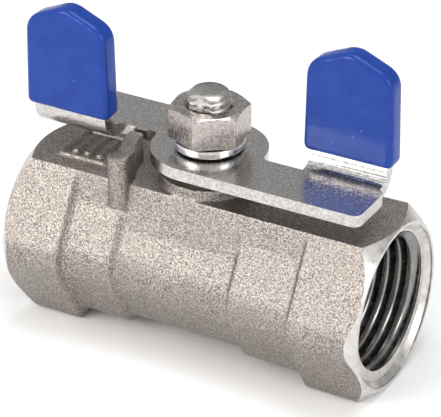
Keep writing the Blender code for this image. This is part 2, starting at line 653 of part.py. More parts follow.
def main():
    clear_scene()
    parts = new_collection("water_shutoff_valve")
    cutters = new_collection("cutters")

    cast_steel = principled("cast stainless steel", (0.52, 0.50, 0.47), 1.0, 0.42)
    turned_steel = principled("turned stainless steel", (0.62, 0.61, 0.59), 1.0, 0.25)
    ball_steel = principled("polished ball", (0.70, 0.70, 0.70), 1.0, 0.08)
    stamped_steel = principled("stamped stainless steel", (0.60, 0.59, 0.57), 1.0, 0.30)
    washer_steel = principled("spring steel", (0.58, 0.57, 0.55), 1.0, 0.22)
    nut_steel = principled("nut steel", (0.60, 0.57, 0.55), 1.0, 0.26)
    gland_steel = principled("gland steel", (0.50, 0.49, 0.47), 1.0, 0.35)
    seal = principled("white ptfe", (0.86, 0.86, 0.84), 0.0, 0.45)
    vinyl = principled("blue vinyl", (0.02, 0.09, 0.45), 0.0, 0.22)

    make_body(parts, cutters, cast_steel)
    make_retainer(parts, cutters, turned_steel)
    make_gasket(parts, seal)
    make_seat("seat_outlet", 1, parts, seal)
    make_seat("seat_inlet", -1, parts, seal)
    make_ball(parts, cutters, ball_steel)
    make_stem(parts, cutters, turned_steel)
    make_thrust_washer(parts, seal)
    make_packing(parts, seal)
    make_gland(parts, gland_steel)
    make_handle(parts, cutters, stamped_steel)
    make_grip("grip_right", 1, parts, cutters, vinyl)
    make_grip("grip_left", -1, parts, cutters, vinyl)
    make_lock_washer(parts, cutters, washer_steel)
    make_nut(parts, cutters, nut_steel)

    move_to_frame(list(parts.objects) + list(cutters.objects))


main()
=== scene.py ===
"""Looks for the half-inch ball valve: blasted casting with cut threads, stamped handle, vinyl grips.

Shapes are drawn round the stem's axis and the pipe's axis, then moved to the CAD frame.
"""

import math

import bmesh
import bpy
from mathutils import Matrix, Vector, noise


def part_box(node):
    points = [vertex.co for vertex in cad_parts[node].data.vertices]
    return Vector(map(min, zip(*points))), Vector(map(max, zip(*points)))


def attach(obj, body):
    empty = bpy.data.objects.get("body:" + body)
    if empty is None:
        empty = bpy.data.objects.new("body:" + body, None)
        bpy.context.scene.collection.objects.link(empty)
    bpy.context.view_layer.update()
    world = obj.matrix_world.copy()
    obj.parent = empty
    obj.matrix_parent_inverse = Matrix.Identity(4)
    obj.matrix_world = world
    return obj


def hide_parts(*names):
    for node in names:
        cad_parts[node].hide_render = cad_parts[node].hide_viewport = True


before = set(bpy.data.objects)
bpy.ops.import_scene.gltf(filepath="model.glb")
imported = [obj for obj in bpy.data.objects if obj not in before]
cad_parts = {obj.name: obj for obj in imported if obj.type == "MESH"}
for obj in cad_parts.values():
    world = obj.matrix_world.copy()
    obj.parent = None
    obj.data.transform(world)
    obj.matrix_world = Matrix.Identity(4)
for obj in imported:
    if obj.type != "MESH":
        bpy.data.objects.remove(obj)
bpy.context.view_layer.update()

MM = 0.001

# ---- places and sizes read from the frame -----------------------------------------------------------
BODY_LOW, BODY_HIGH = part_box("body")
HANDLE_LOW, HANDLE_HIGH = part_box("handle")
STEM_LOW, STEM_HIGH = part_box("stem")
NUT_LOW, NUT_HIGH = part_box("stem_nut")
WASHER_LOW, WASHER_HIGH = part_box("lock_washer")
GRIP_LOW, GRIP_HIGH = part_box("grip_right")
RETAINER_LOW, RETAINER_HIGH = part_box("seat_retainer")
GLAND_LOW, GLAND_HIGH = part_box("packing_gland")
BALL_LOW, BALL_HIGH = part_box("ball")

STEM_X = (BALL_LOW.x + BALL_HIGH.x) / 2
AXIS_Z = (RETAINER_LOW.z + RETAINER_HIGH.z) / 2
ORIGIN = Vector((STEM_X, 0.0, AXIS_Z))     # where the stem's axis crosses the pipe's
OUTLET_FACE = BODY_HIGH.x - STEM_X
INLET_FACE = STEM_X - BODY_LOW.x
POST_TOP = BODY_HIGH.z - AXIS_Z
PLATE_BOTTOM = HANDLE_LOW.z - AXIS_Z
HANDLE_REACH = HANDLE_HIGH.x - STEM_X
STEM_TOP = STEM_HIGH.z - AXIS_Z
BALL_RADIUS = BALL_HIGH.y                  # the bore and the slot cut its X ends and its top

# ---- body -------------------------------------------------------------------------------------------
ACROSS_FLATS = 2 * AXIS_Z
PAD_TOP = ACROSS_FLATS / 2
PAD_HALF_WIDTH = PAD_TOP * math.tan(math.radians(30))
PAD_WALL_DRAFT = 0.28
# Each section: axis to a flat, then the round of its bottom corners and of its side corners.
HEXAGON = (PAD_TOP, 1.2 * MM, 5.0 * MM)
NECK = (11.25 * MM, 5.0 * MM, 6.0 * MM)
WAIST = (10.65 * MM, 7.0 * MM, 7.0 * MM)
OUTLET_HEX_START = 18.9 * MM
INLET_HEX_START = 17.1 * MM
WAIST_HALF = 9.2 * MM
STEP_LENGTH = 0.6 * MM
BOSS_RADIUS = 6.95 * MM
BOSS_TOP = PAD_TOP + 1.65 * MM
POST_INNER_RADIUS = 10.3 * MM
POST_OUTER_RADIUS = 12.5 * MM
POST_ARC = (math.radians(182), math.radians(212))
POST_NOSE = Vector((-10.0 * MM, -7.7 * MM))
POST_NOSE_RADIUS = 1.55 * MM
POST_BOTTOM = 9.0 * MM
END_FACE_RADIUS = 12.05 * MM
MOUTH_RADIUS = 11.6 * MM
MOUTH_STEP = 0.25 * MM
COUNTERSINK_RADIUS = 11.45 * MM
COUNTERSINK_ROOT = 10.75 * MM
SINK_TO_THREAD = 0.15 * MM
TAP_START = 0.6 * MM
VOXEL = 0.26 * MM
SLOW_WAVE = 0.05 * MM                      # height of a casting's slow and fast waviness
FAST_WAVE = 0.02 * MM
SKIN_INSET = 0.02 * MM                     # keeps the wavy skin inside the CAD shape

# ---- threads ----------------------------------------------------------------------------------------
PIPE_THREAD = {"major": 10.478 * MM, "minor": 9.316 * MM, "pitch": 1.814 * MM}
STEM_THREAD = {"major": 2.98 * MM, "minor": 2.42 * MM, "pitch": 1.0 * MM}
NUT_THREAD = {"major": 3.05 * MM, "minor": 2.95 * MM, "pitch": 1.0 * MM}
OUTLET_SOCKET_DEPTH = 14.5 * MM
INLET_SOCKET_DEPTH = 13.5 * MM

# ---- handle, grips, washer and nut ------------------------------------------------------------------
HUB_RADIUS = 8.2 * MM
PLATE_THICKNESS = 1.7 * MM
PLATE_TOP = PLATE_BOTTOM + PLATE_THICKNESS
ARM_CORNER_ROUND = 1.2 * MM
NOTCH_ROUND = 1.0 * MM
BEND_START = 0.3 * MM
BEND_INNER_RADIUS = 2.0 * MM
TAB_INNER_X = 14.35 * MM
TAB_OUTER_X = 26.0 * MM
TAB_TOP = PLATE_TOP + 15.8 * MM
TAB_SHOULDER_DROP = 2.0 * MM
SIDE_LEAN = 0.3 * MM
EDGE_BREAK = 0.2 * MM
SQUARE_TO_AXIS = 0.9995                    # least part of a normal along one axis
STEM_RADIUS = 3.0 * MM
STEM_FLAT_HALF = 2.35 * MM
GRIP_SIDE = 0.85 * MM
GRIP_SHOULDER_DROP = 2.5 * MM
WASHER_RADIUS = 5.05 * MM
WASHER_SPLIT = 0.8 * MM
NUT_FLATS = 10.1 * MM
NUT_ANGLE = math.radians(6.7)

# ---- camera and studio ------------------------------------------------------------------------------
CAMERA_AZIMUTH = math.radians(29.3)
CAMERA_ELEVATION = math.radians(29.1)
CAMERA_DISTANCE = 0.330
CAMERA_LENS = 193.5
CAMERA_TARGET = Vector((0.62 * MM, 0.0, 20.1 * MM))


# ---- mesh helpers -----------------------------------------------------------------------------------
def new_object(name, mesh, material=None):
    obj = bpy.data.objects.new(name, mesh)
    bpy.context.scene.collection.objects.link(obj)
    if material:
        mesh.materials.append(material)
    return obj


def from_bmesh(name, bm, material=None):
    bmesh.ops.recalc_face_normals(bm, faces=bm.faces)
    mesh = bpy.data.meshes.new(name)
    bm.to_mesh(mesh)
    bm.free()
    return new_object(name, mesh, material)


def apply_modifiers(obj):
    """Keeps what the modifiers show as the object's own mesh."""
    depsgraph = bpy.context.evaluated_depsgraph_get()
    depsgraph.update()
    mesh = bpy.data.meshes.new_from_object(obj.evaluated_get(depsgraph))
    obj.modifiers.clear()
    obj.data = mesh
    return obj


def combine(target, tool, operation):
    """Joins, cuts or trims target with tool. New faces keep the tool's material."""
    modifier = target.modifiers.new(operation, 'BOOLEAN')
    modifier.operation = operation
    modifier.solver = 'MANIFOLD'
    modifier.material_mode = 'TRANSFER'
    modifier.object = tool
    apply_modifiers(target)
    bpy.data.objects.remove(tool, do_unlink=True)
    return target


def bevel(obj, width, segments=2, degrees=35):
    modifier = obj.modifiers.new("edge break", 'BEVEL')
    modifier.width = width
    modifier.segments = segments
    modifier.limit_method = 'ANGLE'
    modifier.angle_limit = math.radians(degrees)
    modifier.miter_outer = 'MITER_ARC'
    return apply_modifiers(obj)


def smooth(obj, degrees=32, flat_planes=False):
    """Shades smooth up to an angle. With flat_planes, faces square to an axis stay flat."""
    obj.data.shade_smooth()
    obj.data.set_sharp_from_angle(angle=math.radians(degrees))
    if flat_planes:
        for polygon in obj.data.polygons:
            if max(abs(part) for part in polygon.normal) > SQUARE_TO_AXIS:
                polygon.use_smooth = False
    return obj


def turned(name, points, material, sides=128, closed=False):
    """(radius, height) points turned about Z. A closed profile makes a ring."""
    bm = bmesh.new()
    rings = []
    for radius, height in points:
        if radius == 0:
            rings.append([bm.verts.new((0, 0, height))])
        else:
            rings.append([bm.verts.new((radius * math.cos(math.tau * i / sides),
                                        radius * math.sin(math.tau * i / sides), height))
                          for i in range(sides)])
    pairs = list(zip(rings, rings[1:]))
    if closed:
        pairs.append((rings[-1], rings[0]))
    for ring, following in pairs:
        for i in range(sides):
            j = (i + 1) % sides
            corners = [ring[i % len(ring)], ring[j % len(ring)],
                       following[j % len(following)], following[i % len(following)]]
            face = list(dict.fromkeys(corners))
            if len(face) > 2:
                bm.faces.new(face)
    return from_bmesh(name, bm, material)


def along_pipe(obj, turn=90):
    obj.data.transform(Matrix.Rotation(math.radians(turn), 4, 'Y'))
    return obj


def threaded_rod(name, thread, bottom, top, material, sides=96, steps=14):
    """A solid rod with a right-hand helical thread, along Z. Its rings follow the helix."""
    pitch, minor, major = thread["pitch"], thread["minor"], thread["major"]
    middle, half = (minor + major) / 2, (major - minor) / 2
    rows = (round((top - bottom) / pitch) + 3) * steps
    bm = bmesh.new()
    grid = []
    for row in range(rows + 1):
        wave = 4 * abs((row / steps) % 1.0 - 0.5) - 1
        radius = middle + half * max(-1.0, min(1.0, 1.2 * wave))
        ring = []
        for i in range(sides + 1):
            height = bottom - 2 * pitch + pitch * (row / steps + i / sides)
            angle = math.tau * i / sides
            ring.append(bm.verts.new((radius * math.cos(angle), radius * math.sin(angle), height)))
        grid.append(ring)
    for ring, following in zip(grid, grid[1:]):
        for i in range(sides):
            bm.faces.new((ring[i], ring[i + 1], following[i + 1], following[i]))
    bmesh.ops.remove_doubles(bm, verts=bm.verts, dist=0.000002)
    for end in (bottom - 1.5 * pitch, top + 1.5 * pitch):
        hub = bm.verts.new((0, 0, end))
        rim = [e for e in bm.edges if e.is_boundary and abs(e.verts[0].co.z - end) < 1.6 * pitch]
        for edge in rim:
            bm.faces.new((*edge.verts, hub))
    rod = from_bmesh(name, bm, material)
    wide = 2 * major
    trim = turned("trim", [(0, top), (wide, top), (wide, bottom), (0, bottom)], material, sides=24)
    return combine(rod, trim, 'INTERSECT')


def arc(centre, radius, start, end, steps):
    angles = [start + (end - start) * i / steps for i in range(steps + 1)]
    return [Vector((centre[0] + radius * math.cos(a), centre[1] + radius * math.sin(a))) for a in angles]


def slab(name, outline, holes, bottom, top, material=None):
    """A flat outline in XY with its holes, from bottom to top."""
    curve = bpy.data.curves.new(name, 'CURVE')
    curve.dimensions = '2D'
    curve.fill_mode = 'BOTH'
    curve.extrude = (top - bottom) / 2
    for loop in [outline, *holes]:
        spline = curve.splines.new('POLY')
        spline.points.add(len(loop) - 1)
        for point, place in zip(spline.points, loop):
            point.co = (place[0], place[1], 0.0, 1.0)
        spline.use_cyclic_u = True
    flat = bpy.data.objects.new(name + "_outline", curve)
    bpy.context.scene.collection.objects.link(flat)
    bpy.context.view_layer.update()
    mesh = bpy.data.meshes.new_from_object(flat.evaluated_get(bpy.context.evaluated_depsgraph_get()))
    bpy.data.objects.remove(flat, do_unlink=True)
    bm = bmesh.new()
    bm.from_mesh(mesh)
    bmesh.ops.remove_doubles(bm, verts=bm.verts, dist=0.000002)
    bmesh.ops.dissolve_limit(bm, angle_limit=math.radians(1), verts=bm.verts, edges=bm.edges)
    bmesh.ops.translate(bm, verts=bm.verts, vec=(0, 0, (top + bottom) / 2))
    return from_bmesh(name, bm, material)


def block(name, low, high, material=None):
    bm = bmesh.new()
    bmesh.ops.create_cube(bm, size=1.0)
    size = Vector(high) - Vector(low)
    middle = (Vector(high) + Vector(low)) / 2
    bmesh.ops.transform(bm, matrix=Matrix.LocRotScale(middle, None, size), verts=bm.verts)
    return from_bmesh(name, bm, material)


def hexagon(name, flats, bottom, top, material=None, angle=0.0):
    bm = bmesh.new()
    radius = flats / 2 / math.cos(math.radians(30))
    bmesh.ops.create_cone(bm, cap_ends=True, segments=6, radius1=radius, radius2=radius, depth=top - bottom)
    turn = Matrix.Rotation(angle, 4, 'Z')
    bmesh.ops.transform(bm, matrix=Matrix.Translation((0, 0, (top + bottom) / 2)) @ turn, verts=bm.verts)
    return from_bmesh(name, bm, material)


def place(obj, body, node, slot):
    """Moves a finished piece to the frame, hangs it under its body's empty and hides the CAD node it stands
    for.
    """
    obj.data.transform(Matrix.Translation(ORIGIN))
    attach(obj, body)
    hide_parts(node)
    return obj


# ---- materials --------------------------------------------------------------------------------------
class Nodes:
    """Short names for building one material's node tree, with its coordinates in millimetres."""

    def __init__(self, name, metallic, roughness):
        self.material = bpy.data.materials.new(name)
        self.material.use_nodes = True
        self.tree = self.material.node_tree
        self.shader = self.tree.nodes["Principled BSDF"]
        self.shader.inputs["Metallic"].default_value = metallic
        self.shader.inputs["Roughness"].default_value = roughness
        coordinates = self.tree.nodes.new("ShaderNodeTexCoord")
        mapping = self.tree.nodes.new("ShaderNodeMapping")
        mapping.inputs["Scale"].default_value = (1000, 1000, 1000)
        self.link(coordinates.outputs["Object"], mapping.inputs["Vector"])
        self.position = mapping.outputs["Vector"]

    def link(self, source, target):
        self.tree.links.new(source, target)

    def noise(self, scale, detail=3.0, roughness=0.55, vector=None, distortion=0.0):
        node = self.tree.nodes.new("ShaderNodeTexNoise")
        node.inputs["Scale"].default_value = scale
        node.inputs["Detail"].default_value = detail
        node.inputs["Roughness"].default_value = roughness
        node.inputs["Distortion"].default_value = distortion
        self.link(vector or self.position, node.inputs["Vector"])
        return node.outputs["Fac"]

    def cells(self, scale, randomness=1.0):
        node = self.tree.nodes.new("ShaderNodeTexVoronoi")
        node.inputs["Scale"].default_value = scale
        node.inputs["Randomness"].default_value = randomness
        self.link(self.position, node.inputs["Vector"])
        return node.outputs["Distance"]

    def span(self, value, low, high, new_low, new_high):
        node = self.tree.nodes.new("ShaderNodeMapRange")
        node.clamp = True
        for key, number in (("From Min", low), ("From Max", high),
                            ("To Min", new_low), ("To Max", new_high)):
            node.inputs[key].default_value = number
        self.link(value, node.inputs["Value"])
        return node.outputs["Result"]

    def math(self, operation, first, second):
        node = self.tree.nodes.new("ShaderNodeMath")
        node.operation = operation
        for socket, value in zip(node.inputs, (first, second)):
            if isinstance(value, (int, float)):
                socket.default_value = value
            else:
                self.link(value, socket)
        return node.outputs["Value"]

    def mix(self, factor, first, second):
        node = self.tree.nodes.new("ShaderNodeMix")
        node.data_type = 'RGBA'
        self.link(factor, node.inputs["Factor"])
        for socket, colour in ((node.inputs[6], first), (node.inputs[7], second)):
            if isinstance(colour, tuple):
                socket.default_value = (*colour, 1.0)
            else:
                self.link(colour, socket)
        return node.outputs[2]

    def bump(self, height, distance, strength=1.0, normal=None):
        node = self.tree.nodes.new("ShaderNodeBump")
        node.inputs["Strength"].default_value = strength
        node.inputs["Distance"].default_value = distance
        self.link(height, node.inputs["Height"])
        if normal:
            self.link(normal, node.inputs["Normal"])
        return node.outputs["Normal"]

    def turning_lines(self, axis, scale):
        """Fine rings round the pipe's axis (X) or the stem's axis (Z), as a lathe leaves them."""
        split = self.tree.nodes.new("ShaderNodeSeparateXYZ")
        centre = self.tree.nodes.new("ShaderNodeVectorMath")
        centre.operation = 'SUBTRACT'
        centre.inputs[1].default_value = ORIGIN * 1000
        self.link(self.position, centre.inputs[0])
        self.link(centre.outputs["Vector"], split.inputs["Vector"])
        along, across = (("X", ("Y", "Z")) if axis == 'X' else ("Z", ("X", "Y")))
        first = self.math('MULTIPLY', split.outputs[across[0]], split.outputs[across[0]])
        second = self.math('MULTIPLY', split.outputs[across[1]], split.outputs[across[1]])
        radius = self.math('SQRT', self.math('ADD', first, second), 0.0)
        join = self.tree.nodes.new("ShaderNodeCombineXYZ")
        self.link(radius, join.inputs["X"])
        self.link(split.outputs[along], join.inputs["Y"])
        return self.noise(scale, 2.0, 0.6, join.outputs["Vector"])

    def colour(self, value):
        self.link(value, self.shader.inputs["Base Color"])

    def rough(self, value):
        self.link(value, self.shader.inputs["Roughness"])

    def normal(self, value):
        self.link(value, self.shader.inputs["Normal"])


def cast_steel_material():
    """Bead-blasted casting: strong cream and grey grain, sparse dark specks and slow tone changes."""
    n = Nodes("cast_steel_blasted", 1.0, 0.45)
    grain = n.noise(4.4, 1.0, 0.6)
    fine = n.noise(10.0, 2.0, 0.6)
    tone = n.noise(0.16, 2.0, 0.5)
    specks = n.span(n.noise(3.6, 1.0, 0.5), 0.655, 0.70, 0.0, 0.8)
    base = n.mix(n.span(grain, 0.35, 0.65, 0.0, 1.0), (0.155, 0.141, 0.131), (0.53, 0.482, 0.445))
    base = n.mix(n.span(tone, 0.35, 0.65, 0.0, 0.3), base, (0.32, 0.29, 0.27))
    n.colour(n.mix(specks, base, (0.09, 0.08, 0.075)))
    n.rough(n.span(fine, 0.3, 0.7, 0.38, 0.56))
    n.normal(n.bump(n.math('ADD', grain, n.math('MULTIPLY', fine, 0.4)), 0.09 * MM, 0.75))
    return n.material


def machined_steel_material(name, axis, colour=(0.68, 0.66, 0.64), roughness=0.26):
    """Turned steel: fine rings round one axis and faint smears."""
    n = Nodes(name, 1.0, roughness)
    rings = n.turning_lines(axis, 9.0)
    smear = n.noise(0.8, 3.0, 0.6)
    dark = tuple(c * 0.72 for c in colour)
    n.colour(n.mix(n.span(smear, 0.3, 0.7, 0.0, 1.0), dark, colour))
    n.rough(n.span(smear, 0.3, 0.7, roughness - 0.06, roughness + 0.10))
    n.normal(n.bump(rings, 0.02 * MM, 0.5))
    return n.material


def stamped_steel_material():
    """Tumbled sheet: satin, slightly mottled, with small dents."""
    n = Nodes("stamped_steel_satin", 1.0, 0.3)
    mottle = n.noise(2.6, 3.0, 0.65)
    dents = n.noise(0.7, 2.0, 0.5)
    fine = n.noise(11.0, 2.0, 0.6)
    n.colour(n.mix(n.span(mottle, 0.32, 0.68, 0.0, 1.0), (0.42, 0.405, 0.39), (0.74, 0.725, 0.71)))
    n.rough(n.span(mottle, 0.3, 0.7, 0.16, 0.28))
    height = n.math('ADD', n.math('MULTIPLY', dents, 1.5), n.math('MULTIPLY', fine, 0.25))
    n.normal(n.bump(height, 0.06 * MM, 0.5))
    return n.material


def nut_steel_material():
    n = Nodes("nut_steel_drawn", 1.0, 0.28)
    streak = n.noise(2.2, 3.0, 0.6, distortion=0.6)
    fine = n.noise(8.0, 2.0, 0.6)
    n.colour(n.mix(n.span(streak, 0.3, 0.7, 0.0, 1.0), (0.32, 0.285, 0.27), (0.66, 0.61, 0.585)))
    n.rough(n.span(streak, 0.3, 0.7, 0.20, 0.38))
    n.normal(n.bump(n.math('ADD', streak, n.math('MULTIPLY', fine, 0.3)), 0.04 * MM, 0.5))
    return n.material


def polished_steel_material(name, roughness):
    n = Nodes(name, 1.0, roughness)
    smear = n.noise(1.5, 3.0, 0.6)
    n.colour(n.mix(n.span(smear, 0.3, 0.7, 0.0, 1.0), (0.58, 0.57, 0.56), (0.78, 0.775, 0.77)))
    n.rough(n.span(smear, 0.3, 0.7, roughness * 0.7, roughness * 1.4))
    n.normal(n.bump(smear, 0.01 * MM, 0.3))
    return n.material


def seal_material():
    n = Nodes("white_ptfe", 0.0, 0.42)
    cloud = n.noise(0.9, 3.0, 0.5)
    n.colour(n.mix(n.span(cloud, 0.3, 0.7, 0.0, 1.0), (0.78, 0.78, 0.75), (0.88, 0.88, 0.86)))
    n.rough(n.span(cloud, 0.3, 0.7, 0.36, 0.5))
    n.normal(n.bump(n.noise(6.0), 0.01 * MM, 0.4))
    return n.material


def vinyl_material():
    """Dipped vinyl: deep blue, glossy, with slow ripples and a few pale dust specks."""
    n = Nodes("blue_vinyl_gloss", 0.0, 0.2)
    cloud = n.noise(0.35, 2.0, 0.5)
    specks = n.span(n.cells(0.75), 0.035, 0.075, 1.0, 0.0)
    chosen = n.span(n.noise(0.5, 1.0, 0.5), 0.52, 0.56, 0.0, 0.7)
    base = n.mix(n.span(cloud, 0.35, 0.65, 0.0, 1.0), (0.006, 0.038, 0.255), (0.009, 0.050, 0.30))
    n.colour(n.mix(n.math('MULTIPLY', specks, chosen), base, (0.45, 0.60, 0.85)))
    n.rough(n.span(cloud, 0.3, 0.7, 0.12, 0.20))
    n.normal(n.bump(n.math('ADD', n.noise(0.45, 2.0), n.math('MULTIPLY', specks, 0.15)), 0.25 * MM, 0.35))
    n.shader.inputs["Specular IOR Level"].default_value = 0.28
    return n.material


def floor_material():
    n = Nodes("pale_floor", 0.0, 0.9)
    n.colour(n.mix(n.noise(0.01), (0.90, 0.90, 0.90), (0.93, 0.93, 0.93)))
    return n.material


# ---- body -------------------------------------------------------------------------------------------
def soft_hexagon_radius(angle, section):
    """Radius of a round-cornered hexagon. The angle is measured from straight up, a flat's middle."""
    flat, bottom_round, side_round = section
    at_side = abs(abs(math.sin(angle)) - 1) < 1 - math.sin(math.radians(60))
    corner_round = side_round if at_side else bottom_round
    from_flat = abs((angle + math.radians(30)) % math.radians(60) - math.radians(30))
    tangent = math.atan((flat - corner_round) * math.tan(math.radians(30)) / flat)
    if from_flat <= tangent:
        return flat / math.cos(from_flat)
    centre = (flat - corner_round) / math.cos(math.radians(30))
    off_corner = math.radians(30) - from_flat
    along = centre * math.cos(off_corner)
    return along + math.sqrt(corner_round ** 2 - (centre * math.sin(off_corner)) ** 2)


def wall_junction(section):
    """Angle from straight up at which the pad's leaning side wall meets the section below it."""
    low, high = math.radians(30), math.radians(80)
    for _ in range(40):
        middle = (low + high) / 2
        radius = soft_hexagon_radius(middle, section)
        side, height = radius * math.sin(middle), radius * math.cos(middle)
        wall = PAD_HALF_WIDTH + PAD_WALL_DRAFT * (PAD_TOP - height)
        low, high = (middle, high) if side < wall else (low, middle)
    return low


def body_ring(station, section, round_steps=220, wall_steps=6):
    junction = wall_junction(section)
    radius = soft_hexagon_radius(junction, section)
    foot = Vector((radius * math.sin(junction), radius * math.cos(junction)))
    corner = Vector((PAD_HALF_WIDTH, PAD_TOP))
    wall = [corner.lerp(foot, i / wall_steps) for i in range(wall_steps)]
    below = []
    for i in range(round_steps + 1):
        angle = junction + (math.tau - 2 * junction) * i / round_steps
        radius = soft_hexagon_radius(angle, section)
        below.append(Vector((radius * math.sin(angle), radius * math.cos(angle))))
    other_wall = [Vector((-p.x, p.y)) for p in reversed(wall)]
    return [(station, point.x, point.y) for point in wall + below + other_wall]


def side_stations(hex_start, face, rings=11):
    stations = []
    for start, before, after in ((WAIST_HALF, WAIST, NECK), (hex_start, NECK, HEXAGON)):
        for i in range(rings):
            t = i / (rings - 1)
            eased = t * t * (3 - 2 * t)
            section = tuple(a + (b - a) * eased for a, b in zip(before, after))
            stations.append((start + (t - 0.5) * STEP_LENGTH, section))
    stations.append((face, HEXAGON))
    return stations


def rough_casting(material):
    """The casting before machining: lofted barrel, boss, post and a blank raised label."""
    outlet_side = side_stations(OUTLET_HEX_START, OUTLET_FACE + 1 * MM)
    inlet_side = [(-x, section) for x, section in side_stations(INLET_HEX_START, INLET_FACE + 1 * MM)]
    bm = bmesh.new()
    rings = [[bm.verts.new(co) for co in body_ring(*station)] for station in inlet_side[::-1] + outlet_side]
    for ring, following in zip(rings, rings[1:]):
        for i in range(len(ring)):
            j = (i + 1) % len(ring)
            bm.faces.new((ring[i], ring[j], following[j], following[i]))
    bm.faces.new(rings[0])
    bm.faces.new(rings[-1])
    body = from_bmesh("body_shell", bm, material)

    boss = turned("boss", [(0, BOSS_TOP), (BOSS_RADIUS, BOSS_TOP), (BOSS_RADIUS, PAD_TOP - 1 * MM),
                           (0, PAD_TOP - 1 * MM)], material)
    inner = arc((0, 0), POST_INNER_RADIUS, *POST_ARC, 16)
    outer = arc((0, 0), POST_OUTER_RADIUS, *POST_ARC[::-1], 16)
    nose = arc(POST_NOSE, POST_NOSE_RADIUS, 0.0, -math.pi, 24)
    post = slab("post", inner + nose + outer, [], POST_BOTTOM, POST_TOP, material)
    combine(body, boss, 'UNION')
    combine(body, post, 'UNION')
    for mark in label_marks(material):
        combine(body, mark, 'UNION')
    return body


def label_marks(material):
    """A blank raised frame with two plain bars, cast on the pad near the inlet."""
    low, high = Vector((-22.2 * MM, -4.2 * MM)), Vector((-14.6 * MM, 4.2 * MM))
    rim, height, root = 0.6 * MM, 0.5 * MM, 0.5 * MM
    bar_pitch, bar_half, bar_inset = 1.9 * MM, 0.45 * MM, 1.5 * MM
    bottom, top = PAD_TOP - root, PAD_TOP + height
    outer = [Vector((low.x, low.y)), Vector((high.x, low.y)),
             Vector((high.x, high.y)), Vector((low.x, high.y))]
    inner = [Vector((low.x + rim, low.y + rim)), Vector((high.x - rim, low.y + rim)),
             Vector((high.x - rim, high.y - rim)), Vector((low.x + rim, high.y - rim))]
    marks = [slab("label_frame", outer, [inner], bottom, top, material)]
    for row in (-1, 0, 1):
        middle = (low.x + high.x) / 2 + row * bar_pitch
        marks.append(block(f"label_bar_{row}", (middle - bar_half, low.y + bar_inset, bottom),
                           (middle + bar_half, high.y - bar_inset, top), material))
    return marks


def soften_casting(body):
    """Fillets every cast corner, and adds the slight waviness of a casting."""
    remesh = body.modifiers.new("cast skin", 'REMESH')
    remesh.mode = 'VOXEL'
    remesh.voxel_size = VOXEL
    relax = body.modifiers.new("cast fillets", 'SMOOTH')
    relax.factor = 0.5
    relax.iterations = 1
    apply_modifiers(body)
    for vertex in body.data.vertices:
        direction = Vector((0, vertex.co.y, vertex.co.z)).normalized()
        wave = noise.noise(vertex.co * 160) * SLOW_WAVE + noise.noise(vertex.co * 600) * FAST_WAVE
        vertex.co += direction * (wave - SKIN_INSET)
        vertex.co.z = max(vertex.co.z, -AXIS_Z)
    return body


def chamfer_envelope(material):
    """Turned outline whose cones take the corners off both ends."""
    beyond = ACROSS_FLATS
    cone = beyond - END_FACE_RADIUS
    points = [(0, OUTLET_FACE), (END_FACE_RADIUS, OUTLET_FACE), (beyond, OUTLET_FACE - cone),
              (beyond, cone - INLET_FACE), (END_FACE_RADIUS, -INLET_FACE), (0, -INLET_FACE)]
    return along_pipe(turned("envelope", points, material, sides=192))


def socket_cutters(face, depth, material, shaded_thread_material, side):
    """The tapped hole and the countersink at one end."""
    root_depth = MOUTH_STEP + COUNTERSINK_RADIUS - COUNTERSINK_ROOT
    sink_depth = root_depth + SINK_TO_THREAD
    sink = turned("countersink", [(0, face + 1 * MM), (MOUTH_RADIUS, face + 1 * MM),
                                  (MOUTH_RADIUS, face - MOUTH_STEP),
                                  (COUNTERSINK_RADIUS, face - MOUTH_STEP),
                                  (COUNTERSINK_ROOT, face - root_depth),
                                  (PIPE_THREAD["minor"], face - sink_depth), (0, face - sink_depth)],
                  material, sides=160)
    # The tap leaves its darker steel on the threads: painted shade inside the hole.
    tap = threaded_rod("tap", PIPE_THREAD, face - depth, face - TAP_START,
                       shaded_thread_material, sides=128)
    return [along_pipe(sink, 90 * side), along_pipe(tap, 90 * side)]


def make_body(cast, machined, thread):
    body = soften_casting(rough_casting(cast))
    combine(body, chamfer_envelope(machined), 'INTERSECT')
    for cutter in socket_cutters(OUTLET_FACE, OUTLET_SOCKET_DEPTH, machined, thread, 1):
        combine(body, cutter, 'DIFFERENCE')
    for cutter in socket_cutters(INLET_FACE, INLET_SOCKET_DEPTH, machined, thread, -1):
        combine(body, cutter, 'DIFFERENCE')

    chamber, chamber_end = BALL_RADIUS + 0.4 * MM, 9.0 * MM
    thread_bore, port = 9.1 * MM, 4.6 * MM
    outlet_end = OUTLET_FACE - OUTLET_SOCKET_DEPTH + 0.1 * MM
    inlet_end = INLET_SOCKET_DEPTH - INLET_FACE - 0.1 * MM
    passage = [(0, outlet_end), (thread_bore, outlet_end),
               (thread_bore, chamber_end + 0.2 * MM), (chamber, chamber_end + 0.2 * MM),
               (chamber, -chamber_end), (port, -chamber_end),
               (port, inlet_end), (0, inlet_end)]
    combine(body, along_pipe(turned("passage", passage, machined)), 'DIFFERENCE')
    gland_bore, stem_bore, collar_bore, ledge = 4.9 * MM, 3.3 * MM, 4.7 * MM, 10.0 * MM
    above, under_ledge = BOSS_TOP + 1 * MM, ledge - 0.7 * MM
    stem_way = [(0, above), (gland_bore, above), (gland_bore, ledge), (stem_bore, ledge),
                (stem_bore, under_ledge), (collar_bore, under_ledge), (collar_bore, port), (0, port)]
    combine(body, turned("stem_way", stem_way, machined), 'DIFFERENCE')
    smooth(body, 30)
    return place(body, "valve_body", "body", "cast_steel")


